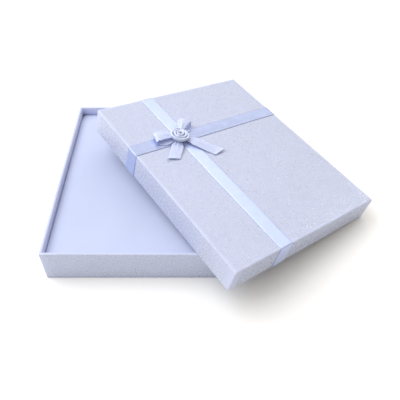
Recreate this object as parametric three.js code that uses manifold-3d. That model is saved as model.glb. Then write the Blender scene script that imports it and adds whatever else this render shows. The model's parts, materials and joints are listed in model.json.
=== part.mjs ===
// A jewelry gift box, open: a shallow paper-covered tray with a velour pad, and its lift-off lid,
// tied with satin ribbon and a ribbon rose, leaning on the tray.
//
// Millimetres, +Z up. The origin is the centre of the tray's underside, X runs across the tray's
// width and Y along its length. The lid lies across the tray at an angle: its long left wall
// crosses the front rim, its short back wall crosses the back rim, and its right corner stands
// on the table.

import * as THREE from 'three';
import { mergeVertices } from 'three/addons/utils/BufferGeometryUtils.js';
import Module from 'manifold-3d';

const wasm = await Module();
wasm.setup();

// ---------------------------------------------------------------- driving dimensions

const TRAY = { width: 148, length: 180, height: 28.6 };
const LID_OVERSIZE = 5;
const LID = {
  width: TRAY.width + LID_OVERSIZE,
  length: TRAY.length + LID_OVERSIZE,
  height: 21.1,
};

// Where the lid lies: the centre of its rim plane, its turn on the tray, and its two tilts.
const LID_REST = { x: 66.6, y: 1.25, z: 23.25, turn: 36.86, tiltX: 6.52, tiltY: 9.48 };

const BOARD = 1.1; // greyboard
const PAPER = 0.25; // cover paper and lining paper
const STAY = 0.2; // corner tape
const GAP = 0.15; // between neighbouring sheets
const BOX_CORNER_RADIUS = 1.2;
const TURN_IN = 14; // how far the cover paper is turned in over the rim
const STAY_LEG = 14;
const STAY_END_MARGIN = 2;

const PAD_SIDE_GAP = 0.4;
const PAD_TOP_BELOW_RIM = 5.7;
const PAD_CORNER_RADIUS = 3;
const PAD_EDGE_RADIUS = 1.5;
const PAD_COVER = 0.6;
const PAD_CARD = 1;
const PAD_CARD_MARGIN = 0.8; // from the card's edge to the inside of the cover
const PAD_COVER_TURN_UNDER = 12;

const RIBBON_WIDTH = 12;
const RIBBON = 0.25; // satin thickness
const RIBBON_GAP = 0.1;
const RIBBON_TURN_IN = 9;
const RIBBON_RAMP = 2; // length over which the upper ribbon climbs over the lower one
const LENGTHWISE_X = -28; // the lengthwise ribbon's middle
const CROSSWISE_Y = 36; // the crosswise ribbon's middle

const BOW = { x: -31, y: 35.5 }; // the bow's middle, a little off the ribbons' crossing
const BOW_RIBBON_WIDTH = 10;
const GLUE_DOT = { radius: 3, height: 0.3 };

const LOOP_BACK = { length: 19.5, height: 6, angle: 43 };
const LOOP_LEFT = { length: 22, height: 4.6, angle: 170 };
const TAIL_LEFT = { length: 28.5, angle: 225 };
const TAIL_FRONT = { length: 35.5, angle: 306 };
const BOW_PINCH = 10; // the bow's layers lie flat within this radius of its middle
const BOW_OVERHANG = 3; // how far each strip reaches past the bow's middle
const LOWER_LEAF_FLAT = 11; // a loop's lower leaf stays level this far out, clear of the tails

// The rose, its middle a little to the left of the bow's.
const ROSE = { x: -3, y: -0.2, innerRadius: 1.3, outerRadius: 9.6, height: 4.6, turns: 4 };

const CORNER_FACETS = 3; // facets in a quarter turn of the box's corners
const PAD_FACETS = 4; // and of the pad's
const ROSE_FACETS = 20; // facets in one turn of the rose
const LOOP_FACETS = 10; // facets round a loop's tip
const SMALLEST_CORNER = 0.2; // radius left on the innermost sheets' corners
const WELD = 1e-5; // vertices closer than this are one

// ---------------------------------------------------------------- derived values

// From the outer face inward, a wall is cover paper, corner stay, board and turned-in paper.
const STAY_INSET = PAPER + GAP;
const BOARD_INSET = STAY_INSET + STAY + GAP;
const BOARD_INNER = BOARD_INSET + BOARD;
const TURN_IN_INSET = BOARD_INNER + GAP;
const WALL = TURN_IN_INSET + PAPER;

// From the panel's outer face inward: cover paper, board, lining paper.
const PANEL_BOARD = PAPER + GAP;
const PANEL_LINING = PANEL_BOARD + BOARD + GAP;
const PANEL = PANEL_LINING + PAPER;

const RIBBON_STEP = RIBBON + RIBBON_GAP;
const BOW_LAYER_BASE = LID.height + 2 * RIBBON_STEP + GLUE_DOT.height + 2 * RIBBON_GAP;
const BOW_LAYERS = 6;
const LOOSE_RIBBON_Z = LID.height + 2 * RIBBON_STEP + RIBBON / 2;
const ROSE_GLUE_Z = BOW_LAYER_BASE + BOW_LAYERS * RIBBON_STEP;
const ROSE_Z = ROSE_GLUE_Z + GLUE_DOT.height + RIBBON_GAP;

const MORE = 1; // how far a cutting solid reaches past what it cuts

// ---------------------------------------------------------------- materials

const materials = {
  coverPaper: new THREE.MeshStandardMaterial({ color: 0xd0d5ec, roughness: 0.45, metalness: 0.1 }),
  liningPaper: new THREE.MeshStandardMaterial({ color: 0xc9cfe8, roughness: 0.6, metalness: 0 }),
  greyboard: new THREE.MeshStandardMaterial({ color: 0x9c9a94, roughness: 0.9, metalness: 0 }),
  stayTape: new THREE.MeshStandardMaterial({ color: 0xd9d4c6, roughness: 0.8, metalness: 0 }),
  velour: new THREE.MeshStandardMaterial({ color: 0xd3d9f5, roughness: 0.95, metalness: 0 }),
  foam: new THREE.MeshStandardMaterial({ color: 0xf0efe9, roughness: 0.95, metalness: 0 }),
  satin: new THREE.MeshStandardMaterial({ color: 0xdce4f8, roughness: 0.3, metalness: 0 }),
  glue: new THREE.MeshStandardMaterial({ color: 0xece6d2, roughness: 0.4, metalness: 0 }),
};

// ---------------------------------------------------------------- solids and booleans

// A closed three.js geometry as a manifold solid: only positions, with shared corners merged.
function toSolid(geometry) {
  const bare = geometry.clone();
  bare.deleteAttribute('normal');
  bare.deleteAttribute('uv');
  const welded = mergeVertices(bare, WELD);
  const mesh = new wasm.Mesh({
    numProp: 3,
    vertProperties: new Float32Array(welded.attributes.position.array),
    triVerts: new Uint32Array(welded.index.array),
  });
  return new wasm.Manifold(mesh);
}

function toGeometry(solid) {
  const mesh = solid.getMesh();
  const geometry = new THREE.BufferGeometry();
  geometry.setAttribute('position', new THREE.BufferAttribute(new Float32Array(mesh.vertProperties), 3));
  geometry.setIndex(new THREE.BufferAttribute(new Uint32Array(mesh.triVerts), 1));
  geometry.computeVertexNormals();
  return geometry;
}

function part(name, geometry, material) {
  const mesh = new THREE.Mesh(geometry, material);
  mesh.name = name;
  return mesh;
}

// ---------------------------------------------------------------- outlines

function roundedRectangle(width, length, radius) {
  const x = width / 2;
  const y = length / 2;
  const shape = new THREE.Shape();
  shape.moveTo(x - radius, -y);
  shape.absarc(x - radius, -y + radius, radius, -Math.PI / 2, 0, false);
  shape.absarc(x - radius, y - radius, radius, 0, Math.PI / 2, false);
  shape.absarc(-x + radius, y - radius, radius, Math.PI / 2, Math.PI, false);
  shape.absarc(-x + radius, -y + radius, radius, Math.PI, 1.5 * Math.PI, false);
  return shape;
}

// The closed outline of a strip of even thickness along a centre line, with mitred bends.
function stripOutline(centreLine, thickness) {
  const directions = centreLine.slice(1).map((point, index) => {
    const step = point.clone().sub(centreLine[index]);
    return step.normalize();
  });
  const offset = (side) => centreLine.map((point, index) => {
    const into = directions[Math.max(index - 1, 0)];
    const away = directions[Math.min(index, directions.length - 1)];
    const normalIn = new THREE.Vector2(-into.y, into.x);
    const normalOut = new THREE.Vector2(-away.y, away.x);
    const mitre = normalIn.clone().add(normalOut).normalize();
    const reach = (side * thickness) / 2 / mitre.dot(normalIn);
    return point.clone().addScaledVector(mitre, reach);
  });
  return new THREE.Shape([...offset(1), ...offset(-1).reverse()]);
}

// Points along a round bend about a centre, angles in degrees.
function bend(centreX, centreY, radius, fromAngle, toAngle, steps) {
  return Array.from({ length: steps + 1 }, (_, step) => {
    const angle = THREE.MathUtils.degToRad(fromAngle + ((toAngle - fromAngle) * step) / steps);
    return new THREE.Vector2(centreX + radius * Math.cos(angle), centreY + radius * Math.sin(angle));
  });
}

// A slab of the box's footprint, moved in from its outer faces by inset, between two heights.
function footprintSlab(box, inset, low, high) {
  const radius = Math.max(BOX_CORNER_RADIUS - inset, SMALLEST_CORNER);
  const outline = roundedRectangle(box.width - 2 * inset, box.length - 2 * inset, radius);
  const slab = new THREE.ExtrudeGeometry(outline, {
    depth: high - low,
    bevelEnabled: false,
    curveSegments: CORNER_FACETS,
  });
  slab.translate(0, 0, low);
  return toSolid(slab);
}

// ---------------------------------------------------------------- box half, rim down

// Both halves of the box are built rim down: the rim is at z = 0 and the panel on top.

// One blank of greyboard, scored and folded into a panel and four walls.
function foldedBoard(box) {
  const panelOutside = box.height - PANEL_BOARD;
  const outside = footprintSlab(box, BOARD_INSET, PAPER + GAP, panelOutside);
  const hollow = footprintSlab(box, BOARD_INNER, -MORE, panelOutside - BOARD);
  return toGeometry(outside.subtract(hollow));
}

// The cover paper: over the walls, round the rim and turned in, and over the panel if it has one.
function coverPaper(box, coversPanel) {
  const top = coversPanel ? box.height : box.height - PANEL_BOARD;
  const skyline = coversPanel ? box.height - PAPER : box.height + MORE;
  const outside = footprintSlab(box, 0, 0, top);
  const mouth = footprintSlab(box, WALL, -MORE, TURN_IN + MORE);
  const behindTurnIn = footprintSlab(box, PAPER, PAPER, TURN_IN)
    .subtract(footprintSlab(box, TURN_IN_INSET, -MORE, TURN_IN + MORE));
  const aboveTurnIn = footprintSlab(box, PAPER, TURN_IN, skyline);
  return toGeometry(outside.subtract(mouth).subtract(behindTurnIn).subtract(aboveTurnIn));
}

// An L-shaped paper tape round one upright corner of the board.
function cornerStay(box, sideX, sideY) {
  const low = STAY_END_MARGIN;
  const high = box.height - STAY_END_MARGIN;
  const ring = footprintSlab(box, STAY_INSET, low, high)
    .subtract(footprintSlab(box, STAY_INSET + STAY, -MORE, box.height + MORE));
  const corner = new THREE.BoxGeometry(2 * STAY_LEG, 2 * STAY_LEG, 2 * box.height);
  corner.translate((sideX * box.width) / 2, (sideY * box.length) / 2, 0);
  return toGeometry(ring.intersect(toSolid(corner)));
}

// The flat lining sheet on the panel's inner face.
function panelLining(box) {
  const low = box.height - PANEL;
  return toGeometry(footprintSlab(box, TURN_IN_INSET, low, low + PAPER));
}

function boxHalf(name, box, coversPanel) {
  const half = new THREE.Group();
  half.add(part(`${name}_board`, foldedBoard(box), materials.greyboard));
  half.add(part(`${name}_wrap`, coverPaper(box, coversPanel), materials.coverPaper));
  half.add(part(`${name}_lining`, panelLining(box), materials.liningPaper));
  const corners = [[-1, -1], [1, -1], [1, 1], [-1, 1]];
  corners.forEach(([sideX, sideY], index) => {
    const stayName = `${name}_corner_stay_${index + 1}`;
    half.add(part(stayName, cornerStay(box, sideX, sideY), materials.stayTape));
  });
  return half;
}

// ---------------------------------------------------------------- tray

// The sheet that covers the tray's underside, its lowest piece.
function trayBasePaper() {
  return toGeometry(footprintSlab(TRAY, 0, 0, PAPER));
}

function tray() {
  const group = new THREE.Group();
  const walls = boxHalf('tray', TRAY, false);
  walls.rotation.x = Math.PI;
  walls.position.z = TRAY.height;
  group.add(walls);
  group.add(part('tray_base_paper', trayBasePaper(), materials.coverPaper));
  return group;
}

// ---------------------------------------------------------------- pad

const PAD = {
  width: TRAY.width - 2 * (WALL + PAD_SIDE_GAP),
  length: TRAY.length - 2 * (WALL + PAD_SIDE_GAP),
  bottom: PANEL + GAP,
  top: TRAY.height - PAD_TOP_BELOW_RIM,
};

// A flat-bottomed cushion form with rounded upright corners and a rounded top edge.
function cushion(inset, low, high) {
  const width = PAD.width - 2 * (inset + PAD_EDGE_RADIUS);
  const length = PAD.length - 2 * (inset + PAD_EDGE_RADIUS);
  const form = new THREE.ExtrudeGeometry(roundedRectangle(width, length, PAD_CORNER_RADIUS - inset), {
    depth: high - low,
    bevelEnabled: true,
    bevelThickness: PAD_EDGE_RADIUS,
    bevelSize: PAD_EDGE_RADIUS,
    bevelSegments: PAD_FACETS - 1,
    curveSegments: PAD_FACETS,
  });
  form.translate(0, 0, low - PAD_EDGE_RADIUS);
  const below = new THREE.BoxGeometry(2 * PAD.width, 2 * PAD.length, 4 * PAD_EDGE_RADIUS);
  below.translate(0, 0, low - 2 * PAD_EDGE_RADIUS);
  return toSolid(form).subtract(toSolid(below));
}

function padSlab(inset, low, high) {
  const outline = roundedRectangle(PAD.width - 2 * inset, PAD.length - 2 * inset, PAD_CORNER_RADIUS);
  const slab = new THREE.ExtrudeGeometry(outline, {
    depth: high - low,
    bevelEnabled: false,
    curveSegments: PAD_FACETS,
  });
  slab.translate(0, 0, low);
  return slab;
}

function pad() {
  const group = new THREE.Group();
  const inside = PAD_COVER + GAP;
  const cardLow = PAD.bottom + inside;
  const foamLow = cardLow + PAD_CARD + GAP;
  const card = padSlab(inside + PAD_CARD_MARGIN, cardLow, cardLow + PAD_CARD);
  const foam = cushion(inside, foamLow, PAD.top - inside);
  const underside = toSolid(padSlab(PAD_COVER_TURN_UNDER, PAD.bottom - MORE, foamLow));
  const cover = cushion(0, PAD.bottom, PAD.top)
    .subtract(cushion(PAD_COVER, PAD.bottom + PAD_COVER, PAD.top - PAD_COVER))
    .subtract(underside);
  group.add(part('pad_card', card, materials.greyboard));
  group.add(part('pad_foam', toGeometry(foam), materials.foam));
  group.add(part('pad_cover', toGeometry(cover), materials.velour));
  return group;
}

// ---------------------------------------------------------------- ribbons round the lid

// The ribbon's centre line in one upright plane of the lid: from inside one wall, under the rim,
// up the wall, over the top, and down the other side. Over the ribbon it crosses it steps up.
function bandLine(span, crossing) {
  const outer = span / 2 + RIBBON_GAP + RIBBON / 2;
  const inner = span / 2 - WALL - RIBBON_GAP - RIBBON / 2;
  const under = -RIBBON_GAP - RIBBON / 2;
  const top = LID.height + RIBBON_GAP + RIBBON / 2;
  const points = [[-inner, RIBBON_TURN_IN], [-inner, under], [-outer, under], [-outer, top]];
  if (crossing !== null) {
    const half = RIBBON_WIDTH / 2 + RIBBON_GAP + RIBBON;
    points.push([crossing - half - RIBBON_RAMP, top], [crossing - half, top + RIBBON_STEP]);
    points.push([crossing + half, top + RIBBON_STEP], [crossing + half + RIBBON_RAMP, top]);
  }
  points.push([outer, top], [outer, under], [inner, under], [inner, RIBBON_TURN_IN]);
  return points.map(([along, up]) => new THREE.Vector2(along, up));
}

// A strip of ribbon standing in the XZ plane, its width centred on y = 0.
function ribbonStrip(centreLine, width) {
  const strip = new THREE.ExtrudeGeometry(stripOutline(centreLine, RIBBON), {
    depth: width,
    bevelEnabled: false,
  });
  strip.translate(0, 0, -width / 2);
  strip.rotateX(Math.PI / 2);
  return strip;
}

function lidRibbons() {
  const group = new THREE.Group();
  const lengthwise = part('ribbon_lengthwise', ribbonStrip(bandLine(LID.length, null), RIBBON_WIDTH),
    materials.satin);
  lengthwise.rotation.z = Math.PI / 2;
  lengthwise.position.x = LENGTHWISE_X;
  const crosswise = part('ribbon_crosswise', ribbonStrip(bandLine(LID.width, LENGTHWISE_X), RIBBON_WIDTH),
    materials.satin);
  crosswise.position.y = CROSSWISE_Y;
  group.add(lengthwise, crosswise);
  return group;
}

// ---------------------------------------------------------------- bow

function layerZ(layer) {
  return BOW_LAYER_BASE + layer * RIBBON_STEP + RIBBON / 2;
}

// A tail lies flat under the bow's middle, then comes down and rests just over the lid's ribbons.
function tailLine({ length }, layer) {
  const line = [[-BOW_OVERHANG, layerZ(layer)], [BOW_PINCH, layerZ(layer)]];
  line.push([2 * BOW_PINCH, LOOSE_RIBBON_Z], [length, LOOSE_RIBBON_Z]);
  return line.map(([along, up]) => new THREE.Vector2(along, up));
}

// A loop leaves the bow's middle, bends round at its tip and comes back above its lower leaf.
function loopLine({ length, height }, layer) {
  const tipRadius = height / 2;
  const tipX = length - tipRadius;
  const lowerZ = layerZ(layer);
  const upperZ = layerZ(layer + 1);
  const tipZ = LOOSE_RIBBON_Z + tipRadius;
  return [
    new THREE.Vector2(-BOW_OVERHANG, lowerZ),
    new THREE.Vector2(LOWER_LEAF_FLAT, lowerZ),
    ...bend(tipX, tipZ, tipRadius, -90, 110, LOOP_FACETS),
    new THREE.Vector2(BOW_PINCH, upperZ),
    new THREE.Vector2(-BOW_OVERHANG, upperZ),
  ];
}

function bowStrip(name, centreLine, { angle }) {
  const strip = part(name, ribbonStrip(centreLine, BOW_RIBBON_WIDTH), materials.satin);
  strip.rotation.z = THREE.MathUtils.degToRad(angle);
  return strip;
}

function glueDot(name, low) {
  const dot = new THREE.CylinderGeometry(GLUE_DOT.radius, GLUE_DOT.radius, GLUE_DOT.height, 12);
  dot.rotateX(Math.PI / 2);
  dot.translate(0, 0, low + GLUE_DOT.height / 2);
  return part(name, dot, materials.glue);
}

// The ribbon rose: one strip of satin on edge, wound outward in a spiral.
function ribbonRose() {
  const steps = ROSE.turns * ROSE_FACETS;
  const centreLine = Array.from({ length: steps + 1 }, (_, step) => {
    const share = step / steps;
    const radius = THREE.MathUtils.lerp(ROSE.innerRadius, ROSE.outerRadius, share);
    const angle = share * ROSE.turns * 2 * Math.PI;
    return new THREE.Vector2(radius * Math.cos(angle), radius * Math.sin(angle));
  });
  const rose = new THREE.ExtrudeGeometry(stripOutline(centreLine, RIBBON), {
    depth: ROSE.height,
    bevelEnabled: false,
  });
  rose.translate(0, 0, ROSE_Z);
  return part('bow_rose', rose, materials.satin);
}

function bow() {
  const group = new THREE.Group();
  group.position.set(BOW.x, BOW.y, 0);
  group.add(glueDot('bow_glue_dot', LID.height + 2 * RIBBON_STEP + RIBBON_GAP));
  group.add(bowStrip('bow_tail_front', tailLine(TAIL_FRONT, 0), TAIL_FRONT));
  group.add(bowStrip('bow_tail_left', tailLine(TAIL_LEFT, 1), TAIL_LEFT));
  group.add(bowStrip('bow_loop_back', loopLine(LOOP_BACK, 2), LOOP_BACK));
  group.add(bowStrip('bow_loop_left', loopLine(LOOP_LEFT, 4), LOOP_LEFT));
  const rose = new THREE.Group();
  rose.position.set(ROSE.x, ROSE.y, 0);
  rose.add(glueDot('rose_glue_dot', ROSE_GLUE_Z));
  rose.add(ribbonRose());
  group.add(rose);
  return group;
}

// ---------------------------------------------------------------- lid

function lid() {
  const group = boxHalf('lid', LID, true);
  group.add(lidRibbons());
  group.add(bow());
  const { tiltX, tiltY, turn } = LID_REST;
  const [x, y, z] = [tiltX, tiltY, turn].map(THREE.MathUtils.degToRad);
  group.rotation.set(x, y, z, 'ZYX');
  group.position.set(LID_REST.x, LID_REST.y, LID_REST.z);
  return group;
}

// ---------------------------------------------------------------- the whole box

const giftBox = new THREE.Group();
giftBox.add(tray());
giftBox.add(pad());
giftBox.add(lid());

export default giftBox;
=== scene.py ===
"""The looks of an open jewelry gift box: a paper-covered tray with a velour pad, and its lid, tied
with satin ribbon and a ribbon rose, leaning across the tray. Metres, in the CAD frame."""

import json
import math

import bmesh
import bpy
from mathutils import Matrix, Vector, noise


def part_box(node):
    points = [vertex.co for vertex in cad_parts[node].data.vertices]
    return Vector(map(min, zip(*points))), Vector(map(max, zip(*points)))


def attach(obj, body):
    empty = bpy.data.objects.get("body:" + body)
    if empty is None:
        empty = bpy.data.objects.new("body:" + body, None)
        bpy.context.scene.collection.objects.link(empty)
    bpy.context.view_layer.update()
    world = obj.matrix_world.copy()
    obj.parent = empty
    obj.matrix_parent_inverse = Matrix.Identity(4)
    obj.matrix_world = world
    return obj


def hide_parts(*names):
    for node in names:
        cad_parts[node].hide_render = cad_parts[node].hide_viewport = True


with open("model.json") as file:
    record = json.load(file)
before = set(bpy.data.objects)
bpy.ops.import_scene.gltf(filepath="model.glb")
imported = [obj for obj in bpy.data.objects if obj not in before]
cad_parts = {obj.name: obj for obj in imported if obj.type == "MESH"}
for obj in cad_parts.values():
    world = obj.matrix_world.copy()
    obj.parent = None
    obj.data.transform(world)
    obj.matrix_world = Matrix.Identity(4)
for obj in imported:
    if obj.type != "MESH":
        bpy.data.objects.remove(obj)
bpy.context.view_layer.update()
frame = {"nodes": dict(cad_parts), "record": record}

MM = 0.001
UP = Vector((0, 0, 1))

noise.seed_set(1)  # without a seed, noise_vector differs from run to run

# ---------------------------------------------------------------- sizes, from the frame

PAPER = 0.25 * MM
WALL = 2.25 * MM  # cover paper, board and turned-in paper together
EDGE_RADIUS = 0.7 * MM  # board edges as the cover paper rounds them
RIBBON_THICKNESS = 0.18 * MM
BOW_RIBBON_WIDTH = 10 * MM


def face_axes(node):
    """The three face directions of a box-shaped node, the largest area first."""
    totals = []
    for polygon in frame["nodes"][node].data.polygons:
        for entry in totals:
            if abs(entry[0].dot(polygon.normal)) > 0.999:
                entry[1] += polygon.area
                break
        else:
            totals.append([polygon.normal.copy(), polygon.area])
    totals.sort(key=lambda entry: -entry[1])
    return [direction for direction, _ in totals[:3]]


def extent(nodes, space):
    """Lowest and highest corner of some CAD nodes, measured along the axes of a space."""
    into = space.inverted()
    points = [into @ v.co for n in nodes for v in frame["nodes"][n].data.vertices]
    low = Vector(min(p[i] for p in points) for i in range(3))
    high = Vector(max(p[i] for p in points) for i in range(3))
    return low, high


def lid_space():
    """The lid's own axes in the frame: x across, y along, z out of its top, origin mid rim."""
    z_axis, x_axis, y_axis = face_axes("lid_board")
    z_axis = z_axis if z_axis.z > 0 else -z_axis
    y_axis = y_axis if y_axis.y > 0 else -y_axis
    x_axis = y_axis.cross(z_axis)
    turn = Matrix((x_axis, y_axis, z_axis)).transposed().to_4x4()
    low, high = extent(["lid_wrap"], turn)
    middle = Vector(((low.x + high.x) / 2, (low.y + high.y) / 2, low.z))
    return Matrix.Translation(turn @ middle) @ turn


LID_SPACE = lid_space()
TRAY_LOW, TRAY_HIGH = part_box("tray_wrap")
LID_LOW, LID_HIGH = extent(["lid_wrap"], LID_SPACE)
PAD_LOW, PAD_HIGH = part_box("pad_cover")
TRAY_LENGTH = TRAY_HIGH.y - TRAY_LOW.y
LONG_LOW, LONG_HIGH = extent(["ribbon_lengthwise"], LID_SPACE)
CROSS_LOW, CROSS_HIGH = extent(["ribbon_crosswise"], LID_SPACE)


# ---------------------------------------------------------------- camera

CAMERA_AZIMUTH = math.radians(-1.56)
CAMERA_ELEVATION = math.radians(46.38)
CAMERA_ROLL = math.radians(1.27)
CAMERA_DISTANCE = 2.26 * TRAY_LENGTH
CAMERA_TARGET = Vector((0.2376, -0.048, 0)) * TRAY_LENGTH
CAMERA_LENS_MM = 41.5
CAMERA_SENSOR_MM = 36


def make_camera():
    """The camera looks at its target from in front and above, rolled a little round its own axis."""
    back = Vector((
        math.sin(CAMERA_AZIMUTH) * math.cos(CAMERA_ELEVATION),
        -math.cos(CAMERA_AZIMUTH) * math.cos(CAMERA_ELEVATION),
        math.sin(CAMERA_ELEVATION),
    ))
    right = UP.cross(back).normalized()
    upward = back.cross(right)
    rolled_right = right * math.cos(CAMERA_ROLL) + upward * math.sin(CAMERA_ROLL)
    rolled_up = back.cross(rolled_right)
    camera = bpy.data.objects.new("camera", bpy.data.cameras.new("camera"))
    camera.data.sensor_width = CAMERA_SENSOR_MM
    camera.data.lens = CAMERA_LENS_MM
    camera.matrix_world = (
        Matrix.Translation(CAMERA_TARGET + back * CAMERA_DISTANCE)
        @ Matrix((rolled_right, rolled_up, back)).transposed().to_4x4()
    )
    bpy.context.scene.collection.objects.link(camera)
    bpy.context.scene.camera = camera


# ---------------------------------------------------------------- light and floor

WARM = (1.05, 1.0, 0.91)
COOL = (0.95, 1.0, 1.1)
LIT_MIDDLE = Vector((0.25, 0, 0)) * TRAY_LENGTH  # between the tray's middle and the lid's

# The sky's strength grows with z - SKY_RIGHT * x + SKY_BACK * y of a direction, from nothing at
# SKY_LOW to full at SKY_HIGH, so that it is dim low on the right and in front.
SKY_RIGHT = 0.5
SKY_BACK = 0.4
SKY_LOW = -0.85
SKY_HIGH = 1.2

FLOOR_HALF = 40 * TRAY_LENGTH
FLOOR_DROP = 0.1 * MM  # how far the floor lies under the tray's underside
FLOOR_COLOUR = (0.97, 0.965, 0.95, 1)


def area_light(name, aim, toward, distance, size, energy, colour):
    """A square soft light that shines on the point aim from the direction toward."""
    light = bpy.data.lights.new(name, "AREA")
    light.shape = "SQUARE"
    light.size = size
    light.energy = energy
    light.color = colour
    lamp = bpy.data.objects.new(name, light)
    direction = Vector(toward).normalized()
    lamp.matrix_world = (
        Matrix.Translation(aim + direction * distance)
        @ direction.to_track_quat("Z", "Y").to_matrix().to_4x4()
    )
    bpy.context.scene.collection.objects.link(lamp)


def make_studio():
    """A graded white sky and three soft lights: one large overhead, one behind, one small at the
    back on the right that catches the lid's right corner."""
    world = bpy.data.worlds.new("studio")
    bpy.context.scene.world = world
    world.use_nodes = True
    background = world.node_tree.nodes["Background"]
    background.inputs["Color"].default_value = (*WARM, 1)
    nodes = Nodes(world)
    sky = nodes.add("ShaderNodeTexCoord").outputs["Generated"]
    toward = nodes.add("ShaderNodeSeparateXYZ", {"Vector": sky}).outputs
    rise = nodes.math("SUBTRACT", toward["Z"], nodes.math("MULTIPLY", toward["X"], SKY_RIGHT))
    rise = nodes.math("ADD", rise, nodes.math("MULTIPLY", toward["Y"], SKY_BACK))
    nodes.put(background.inputs["Strength"], nodes.ramp(rise, SKY_LOW, SKY_HIGH))
    right_corner = LID_SPACE @ Vector((LID_HIGH.x, LID_LOW.y, LID_HIGH.z))
    area_light(
        "overhead", LIT_MIDDLE, toward=(-0.55, 0.03, 0.83),
        distance=1.6, size=1.5, energy=18.5, colour=COOL,
    )
    area_light(
        "back_soft", LIT_MIDDLE, toward=(0.3, 0.7, 0.65),
        distance=1.8, size=1.4, energy=4, colour=COOL,
    )
    area_light(
        "back_right", right_corner, toward=(0.63, 0.63, 0.45),
        distance=1.5, size=0.1, energy=0.9, colour=WARM,
    )
    bpy.context.scene.view_settings.view_transform = "Standard"


def make_floor():
    """A wide plain pale floor just under the tray."""
    mesh = bpy.data.meshes.new("floor")
    quarters = ((-1, -1), (1, -1), (1, 1), (-1, 1))
    corners = [(x * FLOOR_HALF, y * FLOOR_HALF, -FLOOR_DROP) for x, y in quarters]
    mesh.from_pydata(corners, [], [(0, 1, 2, 3)])
    floor = bpy.data.objects.new("floor", mesh)
    bpy.context.scene.collection.objects.link(floor)
    material, shader, _ = new_material("floor_white")
    shader.inputs["Roughness"].default_value = 0.9
    shader.inputs["Base Color"].default_value = FLOOR_COLOUR
    mesh.materials.append(material)


# ---------------------------------------------------------------- material helpers

MIX_FIRST = 6  # a Mix node's colour sockets, whose names its other kinds share
MIX_SECOND = 7
MIX_RESULT = 2


class Nodes:
    """Adds nodes to a material's or world's tree in one call each."""

    def __init__(self, owner):
        self.tree = owner.node_tree

    def add(self, kind, inputs=None, **settings):
        node = self.tree.nodes.new(kind)
        for name, value in settings.items():
            setattr(node, name, value)
        for name, value in (inputs or {}).items():
            self.put(node.inputs[name], value)
        return node

    def put(self, socket, value):
        if isinstance(value, bpy.types.NodeSocket):
            self.tree.links.new(value, socket)
        else:
            socket.default_value = value

    def coordinates(self, scale=(1, 1, 1), kind="Object"):
        source = self.add("ShaderNodeTexCoord").outputs[kind]
        return self.add("ShaderNodeMapping", {"Vector": source, "Scale": scale}).outputs["Vector"]

    def noise(self, vector, scale, detail, roughness=0.5):
        inputs = {"Vector": vector, "Scale": scale, "Detail": detail, "Roughness": roughness}
        return self.add("ShaderNodeTexNoise", inputs).outputs["Fac"]

    def cells(self, vector, scale):
        """A random colour for each cell of a Voronoi pattern."""
        return self.add("ShaderNodeTexVoronoi", {"Vector": vector, "Scale": scale}).outputs["Color"]

    def ramp(self, value, low, high):
        """value mapped so that low becomes 0 and high becomes 1."""
        inputs = {"Value": value, "From Min": low, "From Max": high}
        return self.add("ShaderNodeMapRange", inputs).outputs["Result"]

    def math(self, operation, first, second=0.0):
        node = self.add("ShaderNodeMath", operation=operation)
        self.put(node.inputs[0], first)
        self.put(node.inputs[1], second)
        return node.outputs[0]

    def mix(self, factor, first, second):
        node = self.add("ShaderNodeMix", data_type="RGBA")
        self.put(node.inputs["Factor"], factor)
        self.put(node.inputs[MIX_FIRST], first)
        self.put(node.inputs[MIX_SECOND], second)
        return node.outputs[MIX_RESULT]

    def vector_math(self, operation, first, second=(0, 0, 0), scale=None):
        node = self.add("ShaderNodeVectorMath", operation=operation)
        self.put(node.inputs[0], first)
        if scale is None:
            self.put(node.inputs[1], second)
        else:
            self.put(node.inputs["Scale"], scale)
        return node.outputs[0]

    def bump(self, height, distance, strength):
        inputs = {"Height": height, "Distance": distance, "Strength": strength}
        return self.add("ShaderNodeBump", inputs).outputs["Normal"]


def new_material(name):
    material = bpy.data.materials.new(name)
    material.use_nodes = True
    return material, material.node_tree.nodes["Principled BSDF"], Nodes(material)


def srgb(red, green, blue):
    """An sRGB colour of 0 to 255 as linear red, green, blue, alpha."""
    def linear(value):
        share = value / 255
        return share / 12.92 if share <= 0.04045 else ((share + 0.055) / 1.055) ** 2.4
    return (linear(red), linear(green), linear(blue), 1)


# ---------------------------------------------------------------- materials

PAPER_DARK = srgb(184, 191, 215)
PAPER_LIGHT = srgb(188, 195, 219)
PAPER_GRAIN = srgb(194, 201, 223)
# painted fill light: the turned-in paper is the cover paper in a much lighter, bluer tone, standing for
# light bounced from the pad into the recessed inner walls
PAPER_INSIDE_PAINTED_LIGHT = srgb(220, 225, 250)
PEARL_WARM = srgb(197, 200, 218)
PEARL_COOL = srgb(191, 198, 224)
# painted highlight: a paler tone for rounded edges, folds and rims, partly rubbed coating and partly
# light caught by the rounding
PAPER_RUBBED_AND_HIGHLIT = srgb(208, 213, 240)
VELOUR_DARK = srgb(187, 195, 223)
VELOUR_LIGHT = srgb(192, 200, 227)
VELOUR_TIP = srgb(202, 209, 231)

CLOUD_SCALE = 45  # noise and cell scales are counts per metre
GRAIN_SCALE = 2600
FLAKE_SCALE = 1700
FIBRE_SCALE = 3800
FLAKE_TILT = 0.1  # how far a flake leans from the paper's face
BRIGHT_FLAKE_TILT = 0.45  # how much further the few bright ones lean
BRIGHT_FLAKE_RARITY = 7.0


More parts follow.
